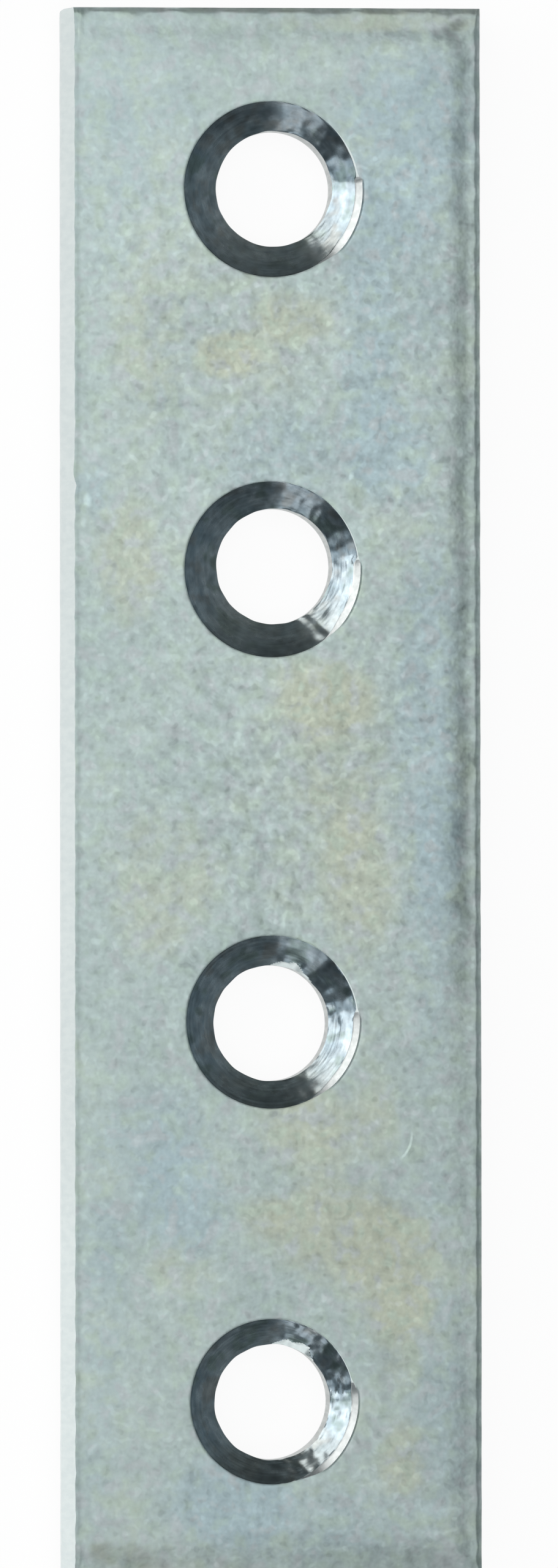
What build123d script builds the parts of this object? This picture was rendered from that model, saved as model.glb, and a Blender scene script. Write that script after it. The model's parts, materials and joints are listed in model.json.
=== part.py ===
"""Flat mending plate for screwing two pieces of wood together.

One strip of sheet steel, cut to length, with four countersunk screw holes in a row.
Millimetres. The plate lies on its back face at Z = 0 with its countersunk face up,
+Y along its length and +X across its width. The origin is the middle of the back face.
"""

from build123d import *
from math import radians, tan
import os

# The strip.
plate_length = 60.0
plate_width = 16.0
sheet_thickness = 2.0

# The cut edges. A shear pulls one rim of the sheet down in a roll, polishes a land
# below it, and tears the rest, so the torn part slopes in towards the other face.
roll_width = 1.2
roll_drop = 0.22
roll_rim_radius = 0.12
side_land_height = 0.68
side_tear_slope = 0.33
end_land_height = 0.88
end_tear_slope = 0.2

# The screw holes, punched one by one from the +Y end to the -Y end. Each stands a
# little off the strip's middle line.
screw_hole_diameter = 4.4
inner_hole_spacing = 17.4
outer_hole_spacing = 46.2
screw_hole_offsets = (0.16, 0.16, 0.0, 0.02)

# The countersinks, cut one by one after the holes: how wide each came out, and how far
# its bit stood from the middle of the hole.
countersink_angle = 90.0
countersink_diameters = (6.69, 6.69, 6.57, 6.27)
countersink_drift_x = (-0.24, -0.24, -0.08, -0.1)
countersink_drift_y = (-0.09, -0.15, 0.05, 0.05)

# The bit wobbled on one side, and left a flatter bevel on part of each rim: where the
# bevel starts and ends, in degrees from +X, and how far it reaches out beyond the
# countersink's mouth and in over its cone.
bevel_starts = (-50.0, -45.0, -55.0, -62.0)
bevel_ends = (8.0, 6.0, 6.0, 11.0)
bevel_reach_out = (0.16, 0.06, 0.07, 0.15)
bevel_reach_in = (0.1, 0.19, 0.17, 0.09)


def half_section(reach: float, land_height: float, tear_slope: float) -> Sketch:
    """The sheet's section from its middle out to one cut edge, about mid-sheet.

    The rolled rim is at the top, the torn part at the bottom.
    """
    half_sheet = sheet_thickness / 2
    with BuildSketch() as half:
        with BuildLine():
            face = Line((0, half_sheet), (reach - roll_width, half_sheet))
            roll = TangentArc(face @ 1, (reach, half_sheet - roll_drop), tangent=face % 1)
            land = Line(roll @ 1, roll @ 1 - (0, land_height))
            torn = Line(land @ 1, (reach - tear_slope, -half_sheet))
            back = Line(torn @ 1, (0, -half_sheet))
            Line(back @ 1, face @ 0)
        make_face()
        fillet(half.vertices().sort_by_distance(roll @ 1)[0], roll_rim_radius)
    return half.sketch


# A plane across the strip and one along it, each with its origin at mid-sheet.
mid_sheet = (0, 0, sheet_thickness / 2)
across_strip = Plane.XZ.shift_origin(mid_sheet)
along_strip = Plane.YZ.shift_origin(mid_sheet)

side_half = half_section(plate_width / 2, side_land_height, side_tear_slope)
end_half = half_section(plate_length / 2, end_land_height, end_tear_slope)

# Where each hole goes on the front face, from the +Y end to the -Y end.
hole_rows = (
    outer_hole_spacing / 2,
    inner_hole_spacing / 2,
    -inner_hole_spacing / 2,
    -outer_hole_spacing / 2,
)
hole_places = [
    Location((offset, row, sheet_thickness))
    for offset, row in zip(screw_hole_offsets, hole_rows)
]

# Where the bit stood for each countersink.
bit_places = [
    place * Pos(drift_x, drift_y)
    for place, drift_x, drift_y in zip(hole_places, countersink_drift_x, countersink_drift_y)
]
countersinks = zip(bit_places, countersink_diameters)
bevels = zip(
    bit_places,
    countersink_diameters,
    bevel_starts,
    bevel_ends,
    bevel_reach_out,
    bevel_reach_in,
)
cone_slope = 1 / tan(radians(countersink_angle / 2))

with BuildPart() as mending_plate:
    # The long edges were sheared from opposite faces: +X is rolled over at the front
    # and -X at the back, so the section looks the same after half a turn.
    with BuildSketch(across_strip):
        add(side_half)
        add(side_half, rotation=180)
    extrude(amount=plate_length / 2, both=True)

    # Both ends were cropped from the front and roll over there. The profile along the
    # strip trims the one across it, so the rolls meet in a mitre at the corners.
    with BuildSketch(along_strip):
        add(end_half)
        mirror(about=Plane.YZ)
    extrude(amount=plate_width, both=True, mode=Mode.INTERSECT)

    # The holes run square through the sheet.
    with Locations(*hole_places):
        Hole(screw_hole_diameter / 2)

    # Each countersink is a cone whose tip points down the hole.
    for place, mouth in countersinks:
        with Locations(place):
            Cone(
                bottom_radius=0,
                top_radius=mouth / 2,
                height=mouth / 2 * cone_slope,
                align=(Align.CENTER, Align.CENTER, Align.MAX),
                mode=Mode.SUBTRACT,
            )

    # Each bevel is a sector of a wider, flatter cone about the same axis. It meets the
    # countersink where it has reached far enough in.
    for place, mouth, start, end, reach_out, reach_in in bevels:
        bevel_radius = mouth / 2 + reach_out
        bevel_slope = cone_slope * reach_in / (reach_in + reach_out)
        bevel_depth = bevel_radius * bevel_slope
        with Locations(place * Pos(Z=-bevel_depth) * Rot(Z=start)):
            Cone(
                bottom_radius=0,
                top_radius=bevel_radius,
                height=bevel_depth,
                arc_size=end - start,
                align=None,
                mode=Mode.SUBTRACT,
            )

mending_plate.part.label = "mending_plate"

os.makedirs("parts", exist_ok=True)
export_step(mending_plate.part, "parts/mending_plate.step")

print("size", mending_plate.part.bounding_box().size)
print("volume", round(mending_plate.part.volume, 3))
for place in hole_places:
    print("hole at", place.position)
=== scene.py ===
# %% [markdown]
# # A zinc-plated mending plate
#
# A mending plate is a strip of sheet steel with four countersunk holes. Screwed across a
# crack or a butt joint, it holds two pieces of wood together. This one is 60 mm long,
# 16 mm wide and 2 mm thick. It was sheared from strip, punched, plated with zinc and then
# countersunk, so it has several finishes: the dull, cloudy zinc of the face, the paler
# zinc of the torn edges, and the dark bare steel where the bit cut each countersink.
#
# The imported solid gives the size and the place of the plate. Everything here is in metres
# for Blender, and in millimetres where a maker would think in millimetres.

import json
import math

import bmesh
import bpy
import numpy as np
from mathutils import Matrix, Vector, noise


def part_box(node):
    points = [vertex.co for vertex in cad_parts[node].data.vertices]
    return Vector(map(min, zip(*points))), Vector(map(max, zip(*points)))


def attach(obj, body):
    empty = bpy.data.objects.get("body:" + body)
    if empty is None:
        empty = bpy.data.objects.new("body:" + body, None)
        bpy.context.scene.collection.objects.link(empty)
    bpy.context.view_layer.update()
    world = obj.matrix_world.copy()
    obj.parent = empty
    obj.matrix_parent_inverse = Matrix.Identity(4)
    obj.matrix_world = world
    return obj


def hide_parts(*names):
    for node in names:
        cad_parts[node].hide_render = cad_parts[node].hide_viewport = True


MM = 0.001

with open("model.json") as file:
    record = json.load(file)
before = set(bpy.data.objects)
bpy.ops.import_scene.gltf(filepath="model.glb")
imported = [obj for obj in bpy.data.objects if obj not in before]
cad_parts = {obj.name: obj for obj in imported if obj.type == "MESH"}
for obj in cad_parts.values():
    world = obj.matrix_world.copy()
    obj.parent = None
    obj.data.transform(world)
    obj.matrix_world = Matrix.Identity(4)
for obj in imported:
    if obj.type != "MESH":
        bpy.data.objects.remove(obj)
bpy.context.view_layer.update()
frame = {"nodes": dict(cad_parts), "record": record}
solid_low, solid_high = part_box("mending_plate")
size = (solid_high - solid_low) / MM
half_width, half_length, thickness = size.x / 2, size.y / 2, size.z
print(f"the plate is {size.x:.1f} x {size.y:.1f} x {size.z:.1f} mm")

holes = {
    mount["name"]: Vector(mount["pos_m"]) / MM
    for mount in frame["record"]["mounts"]
    if mount["name"].startswith("screw_hole")
}
for name, place in holes.items():
    print(f"{name}: x {place.x:.2f}, y {place.y:.2f} mm")

# %% [markdown]
# ## The camera
#
# The plate lies on a table, and the camera hangs over it. It stands a little towards the
# plate's left, so that it sees the left cut edge as a pale band, and the right wall of
# each hole. A wide lens close by would spread the long sides apart, so a long lens far
# away is used instead, which keeps them parallel. Its focal length follows from how much
# of the table has to be in view.

# %% Looking down on the plate
camera_lean_left = math.radians(8)
camera_lean_foot = math.radians(1)
camera_roll = math.radians(0.056)
camera_distance = 400.0
view_height = 59.71
aim = Vector((0.326, 0.407, thickness / 2))
film_height = 36.0
nearest_seen = 0.01

towards_camera = Vector((
    -math.sin(camera_lean_left) * math.cos(camera_lean_foot),
    -math.sin(camera_lean_foot),
    math.cos(camera_lean_left) * math.cos(camera_lean_foot),
))
up_in_view = Vector((math.sin(camera_roll), math.cos(camera_roll), 0))
right_in_view = up_in_view.cross(towards_camera).normalized()
up_in_view = towards_camera.cross(right_in_view)

lens = bpy.data.cameras.new("camera")
lens.sensor_width = film_height
lens.lens = film_height * camera_distance / view_height
lens.clip_start = nearest_seen
camera = bpy.data.objects.new("camera", lens)
turn_of_camera = Matrix((right_in_view, up_in_view, towards_camera)).transposed()
camera.matrix_world = Matrix.Translation(
    (aim + towards_camera * camera_distance) * MM
) @ turn_of_camera.to_4x4()
bpy.context.scene.collection.objects.link(camera)
bpy.context.scene.camera = camera
print(f"the lens is {lens.lens:.0f} mm")

# %% [markdown]
# ## Shader maths
#
# A finish could be wired up by hand in the node editor, but it is easier to read as
# arithmetic than as a wiring plan. The class Value wraps one output socket: adding or
# multiplying two of them adds the Math node that does it.


# %% A value that varies over a surface
class Value:
    """One number that varies over a surface, with arithmetic."""

    def __init__(self, finish, socket):
        self.finish, self.socket = finish, socket

    def _math(self, operation, *others):
        numbers = dict(enumerate((self, *others)))
        return self.finish.node("ShaderNodeMath", {"operation": operation}, numbers)[0]

    def __add__(self, other):
        return self._math("ADD", other)

    def __sub__(self, other):
        return self._math("SUBTRACT", other)

    def __mul__(self, other):
        return self._math("MULTIPLY", other)

    def __truediv__(self, other):
        return self._math("DIVIDE", other)

    def __rsub__(self, other):
        return self * -1 + other

    __radd__ = __add__
    __rmul__ = __mul__

    def power(self, exponent):
        return self._math("POWER", exponent)

    def larger(self, other):
        return self._math("MAXIMUM", other)

    def size(self):
        return self._math("ABSOLUTE")

    def swing(self, amount):
        """A noise from 0 to 1 as a swing about zero, that much from end to end."""
        return (self - 0.5) * amount

    def ramp(self, low, high, start=0.0, end=1.0):
        """start where this value is low, end where it is high, and smooth between."""
        return self.finish.node(
            "ShaderNodeMapRange",
            {"interpolation_type": "SMOOTHSTEP"},
            {"Value": self, "From Min": low, "From Max": high, "To Min": start, "To Max": end},
        )["Result"]


# %% [markdown]
# A Finish is one material. Its method node() adds any kind of node, sets its options first
# and then its sockets. The others are built on it: a blend of colours, a random cloud with
# features of so many millimetres, and the metal surface with its fine relief.


# %% A finish
class Outputs:
    """The outputs of a node, by name or by number, each as a Value."""

    def __init__(self, finish, node):
        self.finish, self.node = finish, node

    def __getitem__(self, key):
        return Value(self.finish, self.node.outputs[key])


class Finish:
    """One material, made of nodes."""

    # A Mix node has sockets for numbers, vectors and colours. These are for colours.
    factor_socket, first_socket, second_socket, mixed_socket = 0, 6, 7, 2

    def __init__(self, name):
        self.material = bpy.data.materials.new(name)
        self.material.use_nodes = True
        self.tree = self.material.node_tree
        self.tree.nodes.clear()

    def put(self, socket, value):
        if isinstance(value, Value):
            self.tree.links.new(value.socket, socket)
        else:
            socket.default_value = value

    def node(self, kind, settings=None, sockets=None):
        made = self.tree.nodes.new(kind)
        for option, value in (settings or {}).items():
            setattr(made, option, value)
        for key, value in (sockets or {}).items():
            self.put(made.inputs[key], value)
        return Outputs(self, made)

    def split(self, vector):
        """The X, Y and Z of a vector."""
        return self.node("ShaderNodeSeparateXYZ", None, {"Vector": vector})

    def blend(self, amount, first, second, how="MIX"):
        """Two colours mixed by amount: 0 gives the first, 1 the second."""
        made = self.node("ShaderNodeMix", {"data_type": "RGBA", "blend_type": how}, {
            self.factor_socket: amount,
            self.first_socket: first,
            self.second_socket: second,
        })
        return made[self.mixed_socket]

    def layered(self, colour, layers):
        """A colour with others laid over it. Each layer is (amount, colour)."""
        for amount, over in layers:
            colour = self.blend(amount, colour, over)
        return colour

    def shaded(self, colour, level):
        """A colour times a level that varies over the surface."""
        levels = self.node("ShaderNodeCombineColor", None, {0: level, 1: level, 2: level})
        return self.blend(1.0, colour, levels["Color"], "MULTIPLY")

    def place(self, stretch=(1, 1, 1)):
        """The point on the object in millimetres, stretched along each axis."""
        point = self.node("ShaderNodeTexCoord")["Object"]
        scale = [share / MM for share in stretch]
        return self.node("ShaderNodeMapping", None, {"Vector": point, "Scale": scale})["Vector"]

    def noise(self, feature, detail=2.0, rough=0.5, at=None, stretch=(1, 1, 1)):
        """Soft random cloud from 0 to 1, with features of about that many millimetres."""
        return self.node("ShaderNodeTexNoise", None, {
            "Vector": at or self.place(stretch),
            "Scale": 1 / feature,
            "Detail": detail,
            "Roughness": rough,
        })["Fac"]

    def metal(self, sockets, bumps=()):
        """Principled surface on the output. Each bump is (height, depth in mm)."""
        surface = self.node("ShaderNodeBsdfPrincipled", None, sockets)
        relief = None
        for height, depth in bumps:
            bump = self.node("ShaderNodeBump", None, {"Height": height, "Distance": depth * MM})
            if relief is not None:
                self.put(bump.node.inputs["Normal"], relief)
            relief = bump["Normal"]
        if relief is not None:
            self.put(surface.node.inputs["Normal"], relief)
        self.node("ShaderNodeOutputMaterial", None, {"Surface": surface["BSDF"]})
        print(f"{self.material.name}: {len(self.tree.nodes)} nodes")


def grey(level):
    return (level, level, level, 1)


# %% [markdown]
# ## The table
#
# The table is a plain white board. A backdrop curve could close the view, but the camera
# looks down, so one flat board is enough. It is a good deal larger than the plate, so that
# it fills the view from any side. For the camera, and for what mirrors in the metal, part
# of its white comes from the board itself. So it stays white without extra light on the
# plate, and the plate's soft shadow still falls on it.

# %% The table
table_half = 6.0
table_drop = 0.00001
board_white, board_rough = 0.9, 0.85
glow_share = 0.92
corners = ((-1, -1), (1, -1), (1, 1), (-1, 1))

table_mesh = bpy.data.meshes.new("table")
table_points = [(x * table_half, y * table_half, -table_drop) for x, y in corners]
table_mesh.from_pydata(table_points, [], [(0, 1, 2, 3)])
table = bpy.data.objects.new("table", table_mesh)
bpy.context.scene.collection.objects.link(table)

white_board = Finish("white_board")
board = white_board.node(
    "ShaderNodeBsdfPrincipled", None, {"Base Color": grey(board_white), "Roughness": board_rough}
)
glow = white_board.node("ShaderNodeEmission", None, {"Color": grey(1.0), "Strength": 1.0})
ray = white_board.node("ShaderNodeLightPath")
seen = ray["Is Camera Ray"].larger(ray["Is Glossy Ray"]).larger(ray["Is Transmission Ray"])
mixed = white_board.node(
    "ShaderNodeMixShader", None, {0: seen * glow_share, 1: board["BSDF"], 2: glow["Emission"]}
)
white_board.node("ShaderNodeOutputMaterial", None, {"Surface": mixed["Shader"]})
table_mesh.materials.append(white_board.material)
print(f"the table is {2 * table_half:.0f} m square")

# %% [markdown]
# ## The light
#
# Metal shows what stands around it, so it is lit by soft panels and not by small lamps.
# The face looks up at a wide panel overhead. The countersinks slope at about 45 degrees,
# so each part of them mirrors the low light on the opposite side. A tall bright panel at
# the left gives the bright crescent in the lower right of each hole. One at the foot gives
# the grey patch at the top, and a narrow dim one between the two gives the half-bright
# steel above the crescent. A faint bluish wall at the right tints the left part. The rest
# of the room is dark and shows as dark steel.

# %% Five soft panels
white = (1.0, 1.0, 1.0)
# For each panel: its direction round from +X and its rise from the table, in degrees; its
# distance, width and height, in metres; how bright it is; and its tint.
panels = {
    "overhead_panel": (180, 88, 1.5, 2.6, 2.6, 1.13, white),
    "left_panel": (154, 20, 2.0, 2.3, 1.5, 3.0, (1.0, 0.97, 0.945)),
    "foot_panel": (255, 17, 2.0, 1.05, 1.2, 1.5, white),
    "dim_panel": (195, 14, 2.0, 0.4, 1.0, 1.3, (0.9, 0.96, 1.0)),
    "far_wall": (5, 14, 2.0, 2.4, 1.0, 0.11, (0.6, 0.88, 1.0)),
}


def soft_panel(name, direction, rise, distance, width, height, radiance, tint):
    """A lamp panel that faces the plate and that the camera doesn't see."""
    light = bpy.data.lights.new(name, "AREA")
    light.shape = "RECTANGLE"
    light.size, light.size_y = width, height
    light.color = tint
    light.energy = radiance * math.pi * width * height
    lamp = bpy.data.objects.new(name, light)
    heading, rise = math.radians(direction), math.radians(rise)
    lamp.location = distance * Vector((
        math.cos(heading) * math.cos(rise),
        math.sin(heading) * math.cos(rise),
        math.sin(rise),
    ))
    lamp.rotation_euler = lamp.location.to_track_quat("Z", "Y").to_euler()
    lamp.visible_camera = False
    bpy.context.scene.collection.objects.link(lamp)
    print(f"{name}: {light.energy:.1f} W")


for name, panel in panels.items():
    soft_panel(name, *panel)

# %% The room
room_tint, room_strength = (0.76, 0.9, 0.95, 1), 0.155
room = bpy.data.worlds.new("room")
room.use_nodes = True
room_light = room.node_tree.nodes["Background"]
room_light.inputs["Color"].default_value = room_tint
room_light.inputs["Strength"].default_value = room_strength
bpy.context.scene.world = room
bpy.context.scene.view_settings.view_transform = "Standard"
print(f"the room glows at {room_strength}")

# %% [markdown]
# ## The cut edges
#
# A shear doesn't cut sheet steel cleanly. It pulls one rim of the sheet down in a soft
# roll, shears a bright land, and tears the rest. The right long edge and both ends were
# cut so that the roll is at the front. The left long edge was cut from the other side, so
# its roll is at the back and its rim is sharp at the front. A Bevel modifier would give
# the same round everywhere. Real rolls waver, so here each is a line of its own, worked
# out from a few sines.

# %% Smooth steps and wandering lines
octaves, octave_fade = 4, 1.6


def smooth(t):
    """0 below 0, 1 above 1, and an even S between."""
    t = np.clip(t, 0, 1)
    return t * t * (3 - 2 * t)


def wander(t, wavelength, seed):
    """Smooth random line between about -1 and 1 along t, the same on each run."""
    rng = np.random.default_rng(seed)
    total = np.zeros_like(t, dtype=float)
    for octave in range(octaves):
        turns, shift = rng.uniform(0.7, 1.4) * 2**octave, rng.uniform(0, 2 * math.pi)
        total += np.sin(2 * math.pi * t * turns / wavelength + shift) / octave_fade**octave
    return total / 2


# %% The rolled rims
# The rim is the last bit of a roll, which the blade bent right over. It has a width, a
# drop, and a number for how uneven it is.
plain_rim, top_rim = (0.27, 0.17, 0.3), (0.3, 0.13, 0.6)
# A roll starts and ends this far in from the edge, and drops this much between the two.
right_roll = {"start": 1.5, "end": 0.34, "drop": 0.19, "sag": 0.05, "rim": plain_rim, "seed": 11}
top_roll = {"start": 1.72, "end": 0.75, "drop": 0.085, "sag": 0.045, "rim": top_rim, "seed": 21}
foot_roll = {"start": 2.15, "end": 0.3, "drop": 0.2, "sag": 0.05, "rim": plain_rim, "seed": 31}
back_roll = {"start": 1.35, "end": 0.3, "drop": 0.2, "sag": 0.05, "rim": plain_rim, "seed": 41}
# The whole sheet sags a little towards the edge, from this far in.
sag_reach = 2.4
# How much a roll's place and its drop vary along the edge.
place_varies, place_varies_finely, drop_varies = 0.11, 0.1, 0.28
# The higher this power is, the later and the sharper the bend.
roll_curve, sag_curve, rim_curve = 1.3, 2, 1.4


def rolled(inset, along, roll, more=1.0):
    """How far a rolled rim has dropped, at a distance in from the edge."""
    shift = place_varies * wander(along, 5, roll["seed"])
    shift = shift + place_varies_finely * wander(along, 1.3, roll["seed"] + 1)
    drop = roll["drop"] * more * (1 + drop_varies * wander(along, 3.5, roll["seed"] + 2))
    share = (roll["start"] + shift - inset) / (roll["start"] - roll["end"])
    main = drop * smooth(np.clip(share, 0, 1) ** roll_curve)
    sag = roll["sag"] * np.clip(1 - inset / sag_reach, 0, 1) ** sag_curve
    width, rim_drop, uneven = roll["rim"]
    width = width * (0.9 + uneven * wander(along, 2.2, roll["seed"] + 3))
    rim = rim_drop * np.clip(1 - inset / width, 0, 1) ** rim_curve
    return main + sag + rim


for name, roll in (("right", right_roll), ("top", top_roll), ("foot", foot_roll)):
    print(f"{name} edge: dropped {rolled(0.0, np.zeros(1), roll)[0]:.2f} mm at the rim")

# %% [markdown]
# The shear bit harder in some places than in others. The right edge is rolled less in its
# lower half, and the top end more towards its right corner. Along the left there is no
# roll at the front, but the rim stands up as a slight burr: the face dips beside it.

# %% The front and back faces
# How strong the right roll is, at each place along Y.
right_strength = {
    "at": (-30, -24, -20.5, -14, -9, -5.5, -2, 3, 18, 30),
    "is": (0.75, 0.7, 0.4, 0.4, 0.5, 0.9, 1.1, 1.05, 1.05, 0.95),
}
# From this place on, the top roll grows by so much over the next stretch.
top_grows_from, top_grows_over, top_growth = 2, 4, 0.9
left_dip, left_dip_deepest, left_dip_fades = 0.019, 0.3, 1.3


def front_height(x, y):
    """How high the front face is: the rolls and the dip each take something off."""
    strength = np.interp(y, right_strength["at"], right_strength["is"])
    right = rolled(half_width - x, y, right_roll, strength)
    growth = 1 + top_growth * smooth((x - top_grows_from) / top_grows_over)
    top = rolled(half_length - y, x, top_roll, growth)
    foot = rolled(half_length + y, x, foot_roll)
    inset = half_width + x
    dip = smooth(inset / left_dip_deepest)
    dip = dip * (1 - smooth((inset - left_dip_deepest) / left_dip_fades))
    left = left_dip * dip * (0.8 + 0.5 * wander(y, 1.7, 61))
    return thickness - np.maximum.reduce([right, top, foot, left])


def back_height(x, y):
    """How high the back face is. Only its left edge is rolled, up from the table."""
    return rolled(half_width + x, y, back_roll)


middle_height = front_height(np.zeros(1), np.zeros(1))[0]
print(f"the middle of the front face is {middle_height:.2f} mm up")

# %% [markdown]
# Below the land, a cut wall is torn back. The tear is uneven, and in one place on the left
# the face has bent out over it, with a bit broken away just below. The walls could be
# carved with a noise texture, but then the faces would have to be fitted to them. Here one
# function, settle, moves any point of the plain box to its place, so that the faces and
# the walls meet of themselves.

# %% The torn walls
# How far the tear reaches through the thickness, and how far it stands in at its rim.
side_tear_reach, side_tear = 1.1, 0.385
end_tear_reach, end_tear = 0.9, 0.2
side_tear_curve = 1.15
side_roughness, rim_waver, end_roughness = 0.006, 0.02, 0.02
# The top end was sheared this much out of square.
out_of_square = 0.13
# This far in from the edges, the faces are drawn along with the walls.
corner_reach = 0.9
bent_out = {"y": 12.3, "reach": 0.34, "size": -0.07}
broken_away = {"y": 11.72, "reach": 0.2, "size": 0.07}


def wall_inset_x(z, y, side):
    """How far a long wall stands in at height z: side is 1 on the right, -1 on the left."""
    up = z if side > 0 else front_height(0 * y - half_width, y) - z
    start = side_tear_reach + 0.05 * wander(y, 5, 41 + side)
    share = np.clip((start - up) / start, 0, 1)
    rough = side_roughness * wander(y + 7 * z, 1.1, 43 + side) * smooth(share * 4)
    rim = rim_waver * wander(y, 1.6, 71 + side) * share**3
    if side < 0:
        for spot in (bent_out, broken_away):
            near = np.exp(-(((y - spot["y"]) / spot["reach"]) ** 2))
            rim = rim + spot["size"] * share**3 * near
    return np.clip(side_tear * share**side_tear_curve + rough + rim, 0, None)


def wall_inset_y(z, x, side):
    """How far an end wall stands in at height z: side is 1 at the top, -1 at the foot."""
    start = end_tear_reach + 0.06 * wander(x, 4, 51 + side)
    rough = end_roughness * wander(x + 5 * z, 0.9, 53 + side)
    share = np.clip((start - z) / start, 0, 1)
    slant = out_of_square * (half_width - x) / (2 * half_width) if side > 0 else 0
    return end_tear * share * (1 + rough) + slant


def settle(x, y, z):
    """Moves a point of the plain box to where the torn walls leave it."""
    near_x = smooth((np.abs(x) - half_width + corner_reach) / corner_reach)
    near_y = smooth((np.abs(y) - half_length + corner_reach) / corner_reach)
    inset_x = np.where(x > 0, wall_inset_x(z, y, 1), wall_inset_x(z, y, -1))
    inset_y = np.where(y > 0, wall_inset_y(z, x, 1), wall_inset_y(z, x, -1))
    return np.stack([
        x - np.sign(x) * inset_x * near_x,
        y - np.sign(y) * inset_y * near_y,
        z + 0 * x,
    ], axis=-1)


print(f"the long walls are torn back {side_tear:.2f} mm and the ends {end_tear:.2f} mm")

# %% [markdown]
# ## The faces and walls
#
# The faces are laid out as a net of squares: fine near the edges, where the roll needs
# them, and even elsewhere. Around each hole a square window is left open for the rings of
# the countersink. Cutting the holes with a Boolean would be quicker to write, but it
# leaves long thin faces round each hole, and they show as creases in polished metal.

# %% The net
# Cells round the holes, between them, and in the rolls.
step, plain_step, roll_step = 0.2, 0.3, 0.11
# The windows are this wide each way from the middle of their row.
window_half = 4.2
window_cells = round(2 * window_half / step)
row_middle = 0.14
# How far in the rolls and their rims are finely divided, and the dip beside the burr.
roll_reach, rim_reach, rim_cells = 2.2, 0.27, 6
burr_reach, burr_step = 0.2, 0.04
dip_reach, dip_step = 1.0, 0.12
# The middle of a window is rounded to this.
place_step = 0.1


def spaced(start, end, cell):
    """Evenly spaced points from start to end, at about that distance."""
    return np.linspace(start, end, max(2, round(abs(end - start) / cell) + 1))


def joined(*runs):
    """Runs of points set end to end, each shared point kept once."""
    return np.concatenate([runs[0]] + [run[1:] for run in runs[1:]])


rim_steps = rim_reach * np.linspace(0, 1, rim_cells + 1)
columns = joined(
    spaced(0, burr_reach, burr_step) - half_width,
    spaced(burr_reach, dip_reach, dip_step) - half_width,
    spaced(dip_reach - half_width, row_middle - window_half, step),
    spaced(row_middle - window_half, row_middle + window_half, step),
    spaced(row_middle + window_half, half_width - roll_reach, step),
    half_width - spaced(roll_reach, rim_reach, roll_step),
    half_width - rim_steps[::-1],
)
window_middles = [round(place.y / place_step) * place_step for place in holes.values()][::-1]
row_runs = [-half_length + rim_steps, -half_length + spaced(rim_reach, roll_reach, roll_step)]
last = -half_length + roll_reach
for middle in window_middles:
    row_runs.append(spaced(last, middle - window_half, plain_step))
    row_runs.append(spaced(middle - window_half, middle + window_half, step))
    last = middle + window_half
row_runs += [
    spaced(last, half_length - roll_reach, plain_step),
    half_length - spaced(roll_reach, rim_reach, roll_step),
    half_length - rim_steps[::-1],
]
rows = joined(*row_runs)
print(f"the net has {len(columns)} columns and {len(rows)} rows")

# %% [markdown]
# The skin of the plate is made of sheets: two faces, four walls, and the inside of each
# hole. A sheet is a grid of points with a four-sided face in each cell. The class Skin
# collects them, and notes the finish of each face.

# %% One skin from many sheets
ZINC, EDGE, CUT, BORE, BEVEL = 0, 1, 2, 3, 4


class Skin:
    """Collects sheets of points into one mesh, in millimetres."""

    def __init__(self):
        self.points, self.faces, self.kinds, self.turned, self.count = [], [], [], [], 0

    def sheet(self, grid, kind, flip=False, keep=None, turned=None):
        """A grid of points as quads. keep says which cells stay, turned is kept per point."""
        across = grid.shape[1]
        self.points.append(grid.reshape(-1, 3))
        extra = np.zeros_like(grid) if turned is None else turned
        self.turned.append(extra.reshape(-1, 3))
        for i in range(grid.shape[0] - 1):
            for j in range(across - 1):
                if keep is not None and not keep[i, j]:
                    continue
                a = self.count + i * across + j
                quad = (a, a + 1, a + across + 1, a + across)
                self.faces.append(quad[::-1] if flip else quad)
                self.kinds.append(kind if np.isscalar(kind) else int(kind[i, j]))
        self.count += grid.shape[0] * across


skin = Skin()
grid_y, grid_x = np.meshgrid(rows, columns, indexing="ij")
middle_x = (columns[1:] + columns[:-1]) / 2
middle_y = (rows[1:] + rows[:-1]) / 2
open_cells = np.zeros((len(middle_y), len(middle_x)), bool)
for middle in window_middles:
    inside_y = np.abs(middle_y - middle) < window_half
    inside_x = np.abs(middle_x - row_middle) < window_half
    open_cells |= inside_y[:, None] & inside_x[None, :]

front = settle(grid_x, grid_y, front_height(grid_x, grid_y))
back = settle(grid_x, grid_y, back_height(grid_x, grid_y))
skin.sheet(front, ZINC, keep=~open_cells)
skin.sheet(back, ZINC, flip=True, keep=~open_cells)
print(f"both faces: {len(skin.faces)} faces, {int(open_cells.sum())} cells left open on each")

# %% The walls
wall_rows = 12


def wall(nominal_x, nominal_y, flip):
    """The cut wall along one edge, from the front face down to the back face."""
    top = front_height(nominal_x, nominal_y)
    foot = back_height(nominal_x, nominal_y)
    sheet = []
    for share in np.linspace(0, 1, wall_rows + 1):
        sheet.append(settle(nominal_x, nominal_y, top + (foot - top) * share))
    skin.sheet(np.array(sheet), EDGE, flip)


wall(0 * rows + half_width, rows, flip=True)
wall(0 * rows - half_width, rows, flip=False)
wall(columns, 0 * columns + half_length, flip=False)
wall(columns, 0 * columns - half_length, flip=True)
print(f"faces and walls: {len(skin.faces)} quads")

# %% [markdown]
# ## The countersinks
#
# Each countersink was cut with a bit after the plate had been punched and plated, so its
# cone is bare steel. They were cut one by one, and no two are alike. The bit drifted off
# the middle of the hole and wobbled, and left a flatter bevel on the lower right of the
# rim, as the solid has it. Above the bevel runs a thin pale lip. The bit also chattered:
# it left lumps at the upper right, jagged flecks at the lower right, and fine rings all
# round. These are real shapes, so they are in the mesh and not only in the shading.

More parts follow.
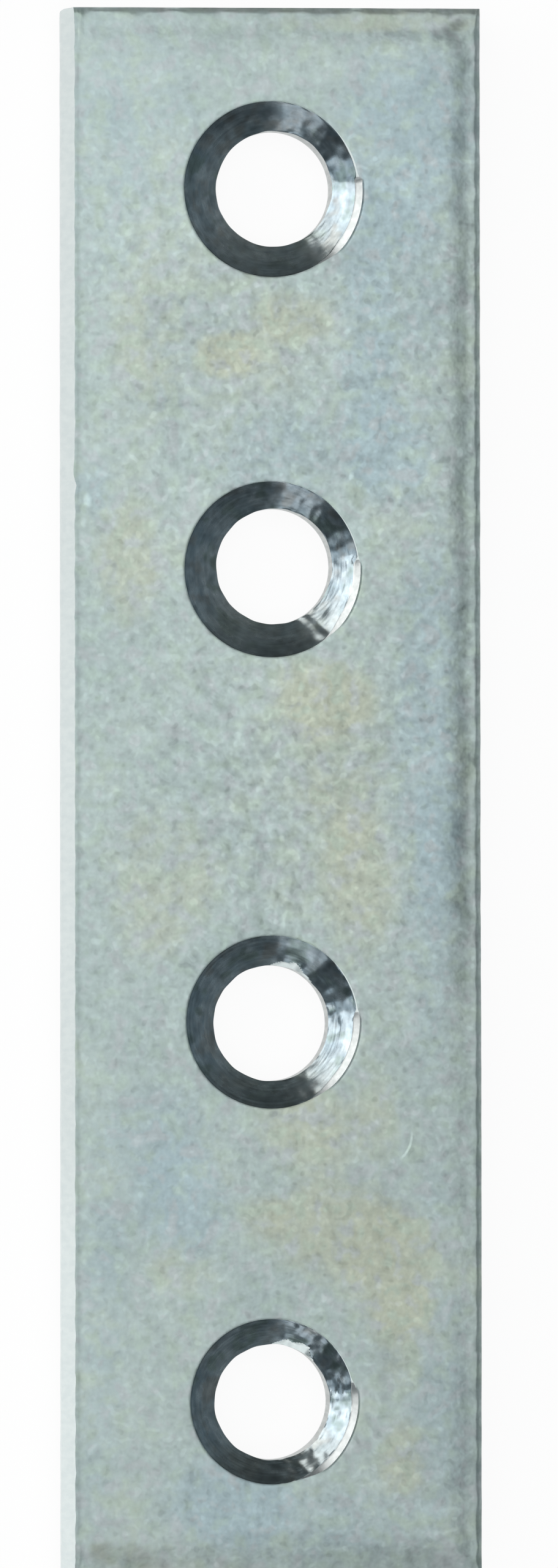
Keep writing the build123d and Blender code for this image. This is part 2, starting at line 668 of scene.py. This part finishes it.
# %% How each countersink came out
# Lengths are in millimetres and directions in degrees round from +X.
# - radius, drift: of the mouth, and how far the bit's centre is from the hole's
# - out, in: how far the bevel reaches beyond the mouth and in over the cone
# - from, to, taper: the bevel's upper and lower end, and how long the upper one fades
# - lip, groove: how strong the lip is, and how wide the groove below the bevel
# - chatter: how high and how wide the lumps are
# - flecks, streaks, tail: how high the flecks are, the slanting marks on them, and the
#   lumps beyond the bevel's lower end
# - plated: the share of the cone that the bit missed at the upper right of the bore
countersinks = [
    {
        "radius": 3.345, "drift": (-0.24, -0.09), "seed": 101,
        "out": 0.16, "in": 0.1, "from": 8, "to": -50, "taper": 3, "lip": 1.0, "groove": 0.02,
        "chatter": (0.05, 0.45), "flecks": 0.006, "streaks": 0.007, "tail": 0.012, "plated": 0.0,
    },
    {
        "radius": 3.345, "drift": (-0.24, -0.15), "seed": 102,
        "out": 0.06, "in": 0.19, "from": 6, "to": -45, "taper": 6, "lip": 0.5, "groove": 0.004,
        "chatter": (0.05, 0.42), "flecks": 0.01, "streaks": 0.005, "tail": 0.045, "plated": 0.0,
    },
    {
        "radius": 3.285, "drift": (-0.08, 0.05), "seed": 103,
        "out": 0.07, "in": 0.17, "from": 6, "to": -55, "taper": 8, "lip": 0.6, "groove": 0.01,
        "chatter": (0.05, 0.42), "flecks": 0.016, "streaks": 0.003, "tail": 0.03, "plated": 0.14,
    },
    {
        "radius": 3.135, "drift": (-0.1, 0.05), "seed": 104,
        "out": 0.15, "in": 0.09, "from": 11, "to": -62, "taper": 12, "lip": 0.3, "groove": 0.01,
        "chatter": (0.06, 0.34), "flecks": 0.034, "streaks": 0.003, "tail": 0.05, "plated": 0.2,
    },
]
for made in countersinks:
    print(f"mouth {2 * made['radius']:.2f} mm, bevel {made['out'] + made['in']:.2f} mm wide")

# %% [markdown]
# A hole is a stack of closed rings of points: from the square window in the face over the
# rim, down the cone and the bore, and out to the window at the back. Every ring has as
# many points as the window has, so the sheets fit together.

# %% The points of a ring
segments = 4 * window_cells
first_angle = -math.pi / 4


def square_point(index):
    """The point with that number round a window's border, from the lower right corner."""
    side, along = divmod(index % segments, window_cells)
    run = -window_half + along * step
    return [
        (window_half, run), (-run, window_half), (-window_half, -run), (run, -window_half)
    ][side]


def around(angle):
    """Degrees in the range -180 to 180."""
    return (np.degrees(angle) + 180) % 360 - 180


angles = np.array([first_angle + 2 * math.pi * i / segments for i in range(segments + 1)])
squares = np.array([square_point(i) for i in range(segments + 1)])
turn = around(angles)
outwards = np.stack([np.cos(angles), np.sin(angles)], -1)
print(f"{segments} points in each ring")

# %% [markdown]
# What varies round a hole is worked out for all the points of a ring at once. A zone is
# the part of the way round where something was cut. A random line is 3-D noise read along
# a circle, because such a line closes on itself without a seam.


# %% Zones and random lines
def zone(start, rise, end, fall):
    """1 between two directions, fading in and out over so many degrees, and 0 elsewhere."""
    return smooth((end - turn) / fall) * smooth((turn - start) / rise)


def on_circle(radius, height):
    """Noise along a circle of that radius. The height can differ from point to point."""
    heights = np.broadcast_to(height, angles.shape)
    return np.array([
        noise.noise(Vector((math.cos(a) * radius, math.sin(a) * radius, h)))
        for a, h in zip(angles, heights)
    ])


def wavy(turns, seed):
    """A random line round the hole, about that many waves long."""
    return 2 * on_circle(turns / 3, seed * 3.7)


for turns in (5, 12):
    waves = wavy(turns, seed=1)
    print(f"a line with {turns} waves runs from {waves.min():.2f} to {waves.max():.2f}")


# %% The rings of one hole
class Hole:
    """One countersunk hole, as rings of points from the face down to the back."""

    def __init__(self, name, place, window_middle, made):
        self.name, self.made = name, made
        self.centre = np.array([place.x, place.y])
        self.bit = self.centre + np.array(made["drift"])
        self.window = squares + np.array([row_middle, window_middle])
        self.rings, self.kinds, self.turned = [], [], []

    def from_bit(self, radius):
        """Points that far out from the bit's centre, one for each direction."""
        return self.bit + outwards * radius[:, None]

    def ring(self, xy, z, kind):
        """Adds a ring, with the direction and distance of its points from the bit."""
        self.rings.append(np.concatenate([xy, np.broadcast_to(z, angles.shape)[:, None]], -1))
        self.kinds.append(np.broadcast_to(kind, segments))
        far = np.linalg.norm(xy - self.bit, axis=-1)
        self.turned.append(np.concatenate([outwards, far[:, None]], -1))


cut_holes = []
for (name, place), made in zip(holes.items(), countersinks):
    nearest = min(window_middles, key=lambda middle: abs(middle - place.y))
    cut_holes.append(Hole(name, place, nearest, made))
    print(f"{name}: in the window at y {nearest:.1f} mm")

# %% [markdown]
# The bit dragged the zinc, so the face rounds over at the rim. Outside the bevel it lies
# in a shallow furrow instead. The bevel is a second, flatter cone: where it is strong, the
# mouth is wider. A groove parts it from the main cone, and shows as a thin dark line.

# %% The mouth
# Degrees round the rim.
bevel_runs_on, bevel_fade = 12, 26
lip_overlap, lip_rise, lip_end, lip_fall = 4, 5, 50, 26
# Millimetres, and slopes as the tangent of an angle.
mouth_waver = 0.002
bevel_slope = math.tan(math.radians(32))
lip_out, lip_in, lip_slope = 0.035, 0.025, math.tan(math.radians(9))
# Where the face starts to sink. Then, at each distance from the rim, how far it has sunk
# where it only rounds over, and where it has the furrow.
furrow_reach = 0.15
sunk = ((0.11, 0.001, 0.014), (0.075, 0.004, 0.03), (0.04, 0.012, 0.022), (0.0, 0.03, 0.0))
face_rings, face_spacing = 8, 0.8


def mark_out(hole):
    """Where the bit cut: the bevel's outer edge, its inner rim, and how deep it goes."""
    made = hole.made
    hole.bevel = zone(
        start=made["to"] - bevel_runs_on, rise=bevel_fade,
        end=made["from"] + made["taper"] / 2, fall=made["taper"],
    )
    lip = made["lip"] * zone(
        start=made["from"] - lip_overlap, rise=lip_rise, end=lip_end, fall=lip_fall
    )
    hole.mouth = made["radius"] * (1 + mouth_waver * wavy(5, made["seed"]))
    hole.edge = hole.mouth + made["out"] * hole.bevel + lip_out * lip
    hole.rim = hole.mouth - made["in"] * hole.bevel - lip_in * lip
    hole.depth = (made["out"] + made["in"]) * hole.bevel * bevel_slope
    hole.depth = hole.depth + (lip_out + lip_in) * lip * lip_slope


def round_over(hole):
    """The face, from the window in to the rim."""
    outer = hole.from_bit(hole.edge + furrow_reach)
    for i in range(face_rings + 1):
        share = (i / face_rings) ** face_spacing
        hole.ring(hole.window + (outer - hole.window) * share, thickness, ZINC)
    for beyond, rounded, furrowed in sunk:
        hole.z = thickness - (rounded + (furrowed - rounded) * hole.bevel)
        hole.ring(hole.from_bit(hole.edge + beyond), hole.z, ZINC)


for hole in cut_holes:
    mark_out(hole)
    round_over(hole)
    print(f"{hole.name}: {2 * hole.mouth.min():.2f} to {2 * hole.mouth.max():.2f} mm wide")

# %% The bevel and its groove
bevel_rings = 5
groove_slope = math.tan(math.radians(20))
groove_least, groove_more, groove_uneven = 0.3, 0.6, 0.5
# The groove gets deeper from this direction on, over so many degrees.
groove_deepens, groove_deepens_over = -10, 30


def cut_bevel(hole):
    """The flat bevel from its outer edge in, and the groove below it."""
    made = hole.made
    kind = np.where(turn[:-1] > made["from"], EDGE, BEVEL)
    for i in range(1, bevel_rings + 1):
        share = i / bevel_rings
        radius = hole.edge + (hole.rim - hole.edge) * share
        hole.ring(hole.from_bit(radius), hole.z - hole.depth * share, kind)
    deeper = smooth((groove_deepens - turn) / groove_deepens_over)
    deeper = groove_least + groove_more * deeper
    deeper = deeper * (1 + groove_uneven * wavy(12, made["seed"] + 7))
    groove = made["groove"] * hole.bevel * deeper
    hole.rim = hole.rim - groove
    hole.z = hole.z - hole.depth - groove * groove_slope
    hole.ring(hole.from_bit(hole.rim), hole.z, CUT)


for hole in cut_holes:
    cut_bevel(hole)
    print(f"{hole.name}: the bevel is up to {hole.depth.max():.2f} mm deep")

# %% [markdown]
# A turning bit marks the steel along circles, and one that chatters hops as it turns. So
# the marks are put together from three things: a slightly different height for each ring,
# lumps that are as long as they are wide, and streaks that run slantwise across the rings.
# Each of them belongs to one part of the way round.

# %% The marks of the bit
# Millimetres up or down.
ring_mark, plain_lumps = 0.002, 0.004
# Degrees round the rim.
chatter_overlap, chatter_ragged, chatter_rise, chatter_end, chatter_fall = 4, 24, 9, 92, 20
flecks_run_on, flecks_rise, flecks_fall = 16, 10, 6
tail_runs_on, tail_rise, tail_overlap, tail_fall = 36, 16, 6, 10
streaks_grow, streaks_grow_over = -15, 20
# The streaks' share at the upper end of the flecks, and how much they grow further down.
streaks_least, streaks_more = 0.4, 0.6
streak_slant, streak_count, streak_length = 9, 14, 1.5


def lumps(share, seed, feature):
    """Random lumps over the cone, about that many millimetres wide."""
    return on_circle(3 / feature, share / feature + seed * 7.3)


def slanting_streaks(share, seed):
    """Fine tool marks that run slantwise round the cone and fade in and out."""
    slant = np.radians(turn) * streak_slant
    return on_circle(streak_length, share * streak_count + slant + seed * 5.1)


def tool_marks(made, share, mark):
    """How far the steel stands up all round, at a share of the way down the cone."""
    seed = made["seed"]
    ragged = chatter_ragged * noise.noise(Vector((share * 5, seed * 2.3, 0)))
    start = made["from"] - chatter_overlap + ragged
    chatter = zone(start=start, rise=chatter_rise, end=chatter_end, fall=chatter_fall)
    start = made["to"] - flecks_run_on
    flecks = zone(start=start, rise=flecks_rise, end=made["from"], fall=flecks_fall)
    start = made["to"] - tail_runs_on
    tail = zone(start=start, rise=tail_rise, end=made["to"] + tail_overlap, fall=tail_fall)
    height, width = made["chatter"]
    rough = plain_lumps + height * chatter + made["flecks"] * flecks + made["tail"] * tail
    streaked = streaks_least + streaks_more * smooth((streaks_grow - turn) / streaks_grow_over)
    streaked = made["streaks"] * flecks * streaked * slanting_streaks(share, seed)
    return mark + (rough * lumps(share, seed, width) + streaked)


for made in countersinks:
    marks = tool_marks(made, share=0.5, mark=0.0)
    print(f"halfway down, the lumps stand {marks.max() - marks.min():.3f} mm high")

# %% [markdown]
# The cone ends on the bore, which is not quite round and not in the middle of it. On two
# of the holes the bit missed the rim of the bore at the upper right. The cone stops short
# of the bore there, and a flatter bit of plated rim is left.

# %% The cone
bore_radius, bore_waver = 2.2, 0.007
cone_slope = math.tan(math.radians(43))
cone_rings = 30
plated_rise_from, plated_fall_to, plated_fade = 44, 90, 14
plated_uneven, plated_flatness = 0.5, 0.25


def cut_cone(hole):
    """The cone from its rim down to the bore, with the marks of the bit."""
    made = hole.made
    rng = np.random.default_rng(made["seed"])
    uneven = 1 + bore_waver * wavy(12, made["seed"] + 5)
    hole.foot = hole.centre + outwards * bore_radius * uneven[:, None]
    reach = np.linalg.norm(hole.foot - hole.bit, axis=-1)
    top, end = hole.z, thickness - (hole.mouth - reach) * cone_slope
    plated = made["plated"] * zone(
        start=plated_rise_from, rise=plated_fade, end=plated_fall_to, fall=plated_fade
    )
    plated = plated * (1 + plated_uneven * wavy(16, made["seed"] + 9))
    for i in range(1, cone_rings + 1):
        share = i / cone_rings
        cut_down = np.minimum(share, 1 - plated)
        flatter = cut_down + (share - cut_down) * plated_flatness
        marks = tool_marks(made, share, ring_mark * rng.uniform(-1, 1))
        marked = (cut_down == share) & (i < cone_rings)
        hole.z = top + (end - top) * flatter + marks * marked
        radius = hole.rim + (reach - hole.rim) * share
        kind = np.where(share > 1 - plated[:-1], EDGE, CUT)
        hole.ring(hole.bit + (hole.foot - hole.bit) * (radius / reach)[:, None], hole.z, kind)


for hole in cut_holes:
    cut_cone(hole)
    print(f"{hole.name}: the cone ends {hole.z.min():.2f} to {hole.z.max():.2f} mm up")

# %% [markdown]
# Below the cone stands the wall of the punched hole. The punch broke through at the back,
# so the bore flares a little there.

# %% The bore and the back
bore_rings, back_rings = 7, 4
bore_flare, flare_starts = 0.02, 0.7


def punch_bore(hole):
    """The wall of the bore, and the back from the bore out to the window."""
    for i in range(1, bore_rings + 1):
        share = i / bore_rings
        flare = bore_flare * smooth((share - flare_starts) / (1 - flare_starts))
        straight = hole.centre + outwards * (bore_radius + flare)
        line = hole.foot + (straight - hole.foot) * smooth(share * 2)
        hole.ring(line, hole.z * (1 - share), BORE)
    for i in range(1, back_rings + 1):
        share = i / back_rings
        hole.ring(straight + (hole.window - straight) * share, 0.0, ZINC)


for hole in cut_holes:
    punch_bore(hole)
    kinds, turned = np.array(hole.kinds[1:]), np.array(hole.turned)
    skin.sheet(np.array(hole.rings), kinds, flip=True, turned=turned)
    print(f"{hole.name}: {len(hole.rings)} rings")

# %% [markdown]
# ## One mesh
#
# The sheets are welded where their points meet, which also proves that the skin is closed.
# What the shading needs to know, the direction and distance from the bit's centre, rides
# along as an attribute on the points.

# %% Weld and hand over
weld_distance = 0.002
sharp_from = math.radians(28)


def build_plate():
    """The welded mesh, kept inside the solid's box."""
    mesh = bpy.data.meshes.new("plate_with_cut_edges")
    low = np.array([-half_width, -half_length, 0])
    high = np.array([half_width, half_length, thickness])
    points = np.clip(np.concatenate(skin.points), low, high) * MM
    mesh.from_pydata(points.tolist(), [], skin.faces)
    mesh.polygons.foreach_set("material_index", skin.kinds)
    mark = mesh.attributes.new("turned", "FLOAT_VECTOR", "POINT")
    mark.data.foreach_set("vector", np.concatenate(skin.turned).ravel())
    net = bmesh.new()
    net.from_mesh(mesh)
    bmesh.ops.remove_doubles(net, verts=net.verts, dist=weld_distance * MM)
    bmesh.ops.recalc_face_normals(net, faces=net.faces)
    open_edges = sum(1 for edge in net.edges if not edge.is_manifold)
    net.to_mesh(mesh)
    net.free()
    mesh.set_sharp_from_angle(angle=sharp_from)
    mesh.polygons.foreach_set("use_smooth", [True] * len(mesh.polygons))
    print(f"{len(mesh.polygons)} faces, {open_edges} open edges")
    return mesh


plate = bpy.data.objects.new("plate", build_plate())
bpy.context.scene.collection.objects.link(plate)

# %% [markdown]
# ## Zinc
#
# Zinc plating is a soft blue-grey with a fine grain, like frost. Passivation leaves faint
# clouds in it, some bluish and some straw-coloured. It is a metal, but a dull one. The
# grain is built from noises of a few sizes. A single one would look like fog.

# %% The grain of the zinc
zinc = Finish("zinc_plated_steel")
frost = zinc.noise(0.1, detail=1.0)
crystals = zinc.noise(0.24, detail=1.0)
specks = zinc.noise(0.3, detail=0.0)
grains = zinc.noise(0.5, detail=1.0)
patches = zinc.noise(0.95, detail=2.0)
clouds = zinc.noise(3.4, detail=3.0)
hues = zinc.noise(0.7, detail=2.0)
where = zinc.split(zinc.place())
x_mm, y_mm = where["X"], where["Y"]

grain = (
    crystals.swing(0.4)
    + grains.swing(0.36)
    + patches.swing(0.42)
    + specks.ramp(0.64, 0.78) * 0.13
    - specks.ramp(0.34, 0.2) * 0.13
)
# The grain is softer along the left and towards both ends.
gain = x_mm.ramp(-7.0, 0.0, 0.8, 1.05)
gain = gain * y_mm.ramp(20.0, 28.0, 1.0, 0.65)
gain = gain * y_mm.ramp(-14.0, -4.0, 0.8, 1.0)
print(f"the grain takes {len(zinc.tree.nodes)} nodes")

# %% [markdown]
# Each stain, and each patch of painted shade and painted highlight, has its place on this plate,
# so they are listed one by one. Each is an oval: its middle, its half width and half height
# in millimetres, and its strength. On their own the ovals would look like thumb prints, so
# noise is added before they are thresholded, and it breaks up their outlines.

# %% Stain marks, painted shade and painted highlights on the face
straw_places = [
    (-1.8, 16.7, 0.9, 0.7, 1.0), (0.8, 18.1, 1.2, 0.8, 0.8), (-2.4, 17.6, 2.7, 2.8, 0.5),
    (-4.8, 16.2, 1.1, 2.2, 0.4), (-5.6, 8.8, 1.0, 2.2, 0.75), (1.9, 3.7, 1.5, 1.2, 1.0),
    (2.9, 1.0, 1.4, 2.4, 0.6), (3.2, -3.5, 1.1, 2.2, 0.7), (-4.4, -3.2, 1.6, 2.4, 0.6),
    (0.0, -1.0, 2.6, 2.8, 0.3), (2.4, -16.5, 2.0, 1.6, 1.0), (4.6, -17.9, 1.3, 2.0, 0.9),
    (1.4, -12.9, 1.6, 1.4, 0.7), (3.9, -12.3, 0.7, 1.8, 0.5), (4.9, -20.5, 1.0, 1.8, 0.6),
    (5.0, -25.2, 0.8, 1.2, 0.8), (-3.5, -17.9, 1.1, 0.8, 0.4), (-0.4, -16.0, 0.8, 0.7, 0.6),
    (-6.4, -27.5, 1.2, 1.6, 0.3), (4.0, 29.45, 4.0, 0.35, 0.6),
]
blue_places = [
    (-5.5, 24.5, 2.2, 4.5, 0.5), (5.0, 25.0, 2.1, 3.2, 1.0), (4.5, 12.9, 1.1, 1.7, 1.0),
    (3.5, 17.2, 0.9, 4.4, 0.9), (0.4, 12.9, 2.6, 1.4, 0.5), (5.6, 19.0, 1.2, 5.0, 0.4),
    (6.0, 1.0, 1.1, 9.0, 0.8), (6.3, -1.2, 0.7, 3.0, 0.6), (-7.0, 11.7, 0.7, 1.1, 0.6),
    (-3.5, -15.4, 1.4, 1.6, 1.0), (-4.6, -13.0, 2.0, 1.6, 0.5), (-1.6, -26.7, 2.0, 1.4, 0.9),
    (6.2, -21.0, 0.9, 6.0, 0.5), (-6.6, -20.0, 0.8, 5.0, 0.5), (1.5, -27.6, 4.0, 1.2, 0.5),
]
# Painted shade along the rolled ends, on the right roll and in the top right corner. The ovals
# at the foot are dirt.
dirt_and_painted_shade_places = [
    (7.3, 29.5, 0.2, 0.17, 0.9), (7.1, 29.35, 0.22, 0.18, 1.0), (6.88, 29.2, 0.26, 0.2, 1.0),
    (6.6, 29.0, 0.3, 0.2, 0.9), (6.97, 28.72, 0.24, 0.22, 1.0), (5.2, -29.4, 1.8, 0.8, 0.5),
    (0.0, 29.5, 8.0, 0.9, 0.3), (0.0, -29.3, 8.0, 0.9, 0.45), (7.0, -2.5, 0.6, 4.5, 0.5),
    (-6.5, -28.7, 0.45, 0.35, 0.7), (-5.3, -29.0, 0.6, 0.4, 0.5),
]
# Painted highlights: small bright glints on the face and by the left rim.
painted_highlight_places = [
    (-7.14, 11.14, 0.12, 0.22, 1.0), (0.06, -4.84, 0.08, 0.08, 0.9),
    (2.97, 12.07, 0.09, 0.08, 0.9), (3.9, 24.2, 0.08, 0.08, 0.8),
    (-1.6, 19.4, 0.07, 0.07, 0.8), (-1.1, 19.4, 0.07, 0.06, 0.8),
]
dirt_places = [
    (-6.5, -28.7, 0.45, 0.35, 1.0), (-5.3, -29.0, 0.6, 0.4, 0.7), (-4.0, -29.6, 3.0, 0.5, 0.6)
]
# An oval fades from full strength in its middle to nothing where this is the square of
# the distance, with its own half width and half height as 1.
oval_end = 2.8


def ovals(places):
    """A soft mask of ovals, for stain as well as painted shade and painted highlights: 1 in the
    middle of a strong one, 0 outside them all.
    """
    total = 0.0
    for x, y, wide, tall, strength in places:
        off_x, off_y = (x_mm - x) / wide, (y_mm - y) / tall
        total = (off_x * off_x + off_y * off_y).ramp(oval_end, 0.0) * strength + total
    return total


broken = clouds.swing(2.4) + hues.swing(2.6)
straw = (ovals(straw_places) + broken * 0.8).ramp(-0.1, 1.4)
blue = (ovals(blue_places) - broken * 0.7).ramp(0.0, 1.3)
print(f"{len(straw_places)} straw and {len(blue_places)} blue stains")

# %% [markdown]
# The plate was handled: a fine scratch runs in part of a circle below the third hole, and
# there is dirt at the foot. A strip beside the left rim, where the face dips by the burr, is
# painted darker in patches as painted shade, and so is the rim of the top end.

# %% Wear, dirt and painted shade
# Painted shade in patches beside the left rim, where the face dips by the burr.
painted_dip_shade = x_mm.ramp(-7.25, -7.5) * patches.ramp(0.36, 0.52)
scratch_x, scratch_y, scratch_radius = 4.1, -12.95, 1.17
scratch_width, scratch_core = 0.07, 0.02
scratch_part = [(5.17, -13.4, 0.4, 0.4, 1.0)]
from_middle_x, from_middle_y = x_mm - scratch_x, y_mm - scratch_y
far = (from_middle_x * from_middle_x + from_middle_y * from_middle_y).power(0.5)
scratch = (far - scratch_radius).size().ramp(scratch_width, scratch_core) * ovals(scratch_part)
foot_dirt = ovals(dirt_places) * patches.ramp(0.3, 0.6)
# Painted shade in patches on the rim of the top end.
painted_top_rim_shade = y_mm.ramp(29.66, 29.8) * patches.ramp(0.3, 0.6)
print(f"the scratch is {2 * scratch_width:.2f} mm wide")

# %% The plated face
plain_zinc, straw_zinc = (0.431, 0.518, 0.504, 1), (0.468, 0.495, 0.385, 1)
blue_zinc, green_zinc = (0.385, 0.49, 0.52, 1), (0.415, 0.535, 0.47, 1)
rose_zinc = (0.465, 0.50, 0.505, 1)
# The second grey on the next line is painted shade for the top rim; the first is dirt.
grey_dirt, painted_rim_shade_colour = (0.4, 0.4, 0.33, 1), (0.2, 0.2, 0.17, 1)
colour = zinc.layered(plain_zinc, [
    (straw * 0.8, straw_zinc),
    (blue * 0.95, blue_zinc),
    (hues.ramp(0.52, 0.68) * 0.4, green_zinc),
    (hues.ramp(0.48, 0.32) * 0.6, rose_zinc),
    (foot_dirt * 0.4, grey_dirt),
    (painted_top_rim_shade * 0.4, painted_rim_shade_colour),
])

# The face is painted a little darker towards the right and the foot, as painted shade.
shade = 0.91 + grain * gain + clouds.swing(0.3)
shade = shade * (1.0 - x_mm * 0.0085 + y_mm * 0.0031)
# Painted shade on the rolls, in the corner and beside the left rim, with dirt at the foot.
shade = shade * (1.0 - ovals(dirt_and_painted_shade_places) * 0.22) * (1.0 - painted_dip_shade * 0.09)
# Painted highlights for small glints, then the scratch.
shade = shade * (1.0 + ovals(painted_highlight_places) * 0.25 + scratch * 0.4)
zinc.metal(
    {
        "Base Color": zinc.shaded(colour, shade),
        "Metallic": 0.75,
        "Roughness": 0.46 + patches.swing(0.2) + frost.swing(0.1),
    },
    [(crystals, 0.014), (grains, 0.013)],
)

# %% [markdown]
# ## The torn edges and the bores
#
# The walls that the shear and the punch left were plated too. They are paler than the
# face, since they are smoother and lie at a slope. The steel was dragged through the
# thickness, so the noise is stretched that way: squeezing one axis draws it out.

# %% The torn edges
edge_zinc = Finish("zinc_on_torn_edge")
tears = edge_zinc.noise(0.25, detail=3.0, stretch=(1, 1, 0.2))
pits = edge_zinc.noise(0.14, detail=3.0, rough=0.65)
dull_edge, pale_edge = (0.605, 0.667, 0.667, 1), (0.652, 0.71, 0.705, 1)
edge_colour = edge_zinc.blend(tears.ramp(0.3, 0.7), dull_edge, pale_edge)
edge_y = edge_zinc.split(edge_zinc.place())["Y"]
# The edge is painted a little paler towards the foot, as painted light.
painted_light_down_edge = 1.0 - edge_y * 0.0013 + edge_y.ramp(-12.0, -18.0) * 0.05
edge_zinc.metal(
    {
        "Base Color": edge_zinc.shaded(edge_colour, painted_light_down_edge),
        "Metallic": 0.75,
        "Roughness": 0.34 + pits * 0.15,
    },
    [(tears, 0.004), (pits, 0.003)],
)

# %% The punched walls of the holes
bore_zinc = Finish("zinc_in_bore")
drags = bore_zinc.noise(0.2, detail=3.0, stretch=(1, 1, 0.12))
dark_bore, pale_bore = (0.40, 0.43, 0.425, 1), (0.58, 0.61, 0.60, 1)
bore_colour = bore_zinc.blend(drags.ramp(0.3, 0.7), dark_bore, pale_bore)
bore_zinc.metal(
    {"Base Color": bore_colour, "Metallic": 0.8, "Roughness": 0.3 + drags * 0.2},
    [(drags, 0.008)],
)

# %% [markdown]
# ## Bare steel
#
# The countersinks were cut through the plating, and their steel is darker and smoother
# than the zinc. The bit left rings in it, so the noise is read at a place given by the
# turn and the radius. With the radius scaled up and the turn scaled down, it draws out
# round the hole. The bevels were scraped rather than cut, and are brighter.

# %% The bevels
bevel_steel = Finish("scraped_steel")
scrapes = bevel_steel.noise(0.2, detail=3.0)
dull_scrape, bright_scrape = (0.345, 0.37, 0.372, 1), (0.405, 0.43, 0.433, 1)
scraped = bevel_steel.blend(scrapes.ramp(0.35, 0.65), dull_scrape, bright_scrape)
bevel_steel.metal(
    {"Base Color": scraped, "Metallic": 1.0, "Roughness": 0.3},
    [(scrapes, 0.001)],
)

# %% The marks on the cut cones
steel = Finish("cut_steel")
turned_place = steel.node("ShaderNodeAttribute", {"attribute_name": "turned"})["Vector"]


def squeezed(along, radially):
    """The place on the cone, with the turn and the radius scaled apart from each other."""
    scales = {0: turned_place, 1: (along, along, radially)}
    return steel.node("ShaderNodeVectorMath", {"operation": "MULTIPLY"}, scales)["Vector"]


tool_rings = steel.noise(0.06, detail=2.0, at=squeezed(0.15, 1))
smears = steel.noise(0.4, detail=3.0, at=squeezed(1.6, 1))
stain = steel.noise(0.9, detail=2.0)
print(f"the marks take {len(steel.tree.nodes)} nodes")

# %% The cut cones
dark_steel, light_steel = (0.172, 0.218, 0.247, 1), (0.279, 0.328, 0.357, 1)
brown_steel, green_steel = (0.19, 0.18, 0.16, 1), (0.14, 0.185, 0.175, 1)
olive_steel = (0.19, 0.205, 0.19, 1)
side = steel.split(turned_place)
steel_colour = steel.layered(dark_steel, [
    (smears.ramp(0.3, 0.7), light_steel),
    (stain.ramp(0.53, 0.68) * 0.45, brown_steel),
    (stain.ramp(0.47, 0.33) * 0.75, green_steel),
    (side["Y"].ramp(-0.3, -0.95) * 0.6, olive_steel),
])
# The steel is painted brighter towards this side, a painted highlight under the bright crescent,
# and darker across from it, a painted shade.
painted_light_side = math.radians(-26)
towards_painted_light = side["X"] * math.cos(painted_light_side) + side["Y"] * math.sin(painted_light_side)
painted_highlight_and_shade = 1.0 + towards_painted_light.ramp(0.55, 0.85) * 0.28 - towards_painted_light.ramp(-0.55, -0.85) * 0.13
# Random patches of tone, times that painted highlight and shade.
blotches_and_painted_light = (0.5 + steel.noise(0.4, detail=2.0)) * painted_highlight_and_shade
steel.metal(
    {
        "Base Color": steel.shaded(steel_colour, blotches_and_painted_light),
        "Metallic": 1.0,
        "Roughness": 0.2 + smears * 0.12,
    },
    [(tool_rings, 0.002), (smears, 0.008)],
)

# %% [markdown]
# ## Dressing the plate
#
# The mesh gets its finishes in the order of the numbers that its faces hold. Then it is
# handed over: it rides on the plate's body and stands in for the plain solid.

# %% Dress the plate
for finish in (zinc, edge_zinc, steel, bore_zinc, bevel_steel):
    plate.data.materials.append(finish.material)
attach(plate, "root")
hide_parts("mending_plate")
frame["nodes"]["mending_plate"].data.materials.clear()
frame["nodes"]["mending_plate"].data.materials.append(zinc.material)
print(f"{plate.name} has {len(plate.data.materials)} finishes")
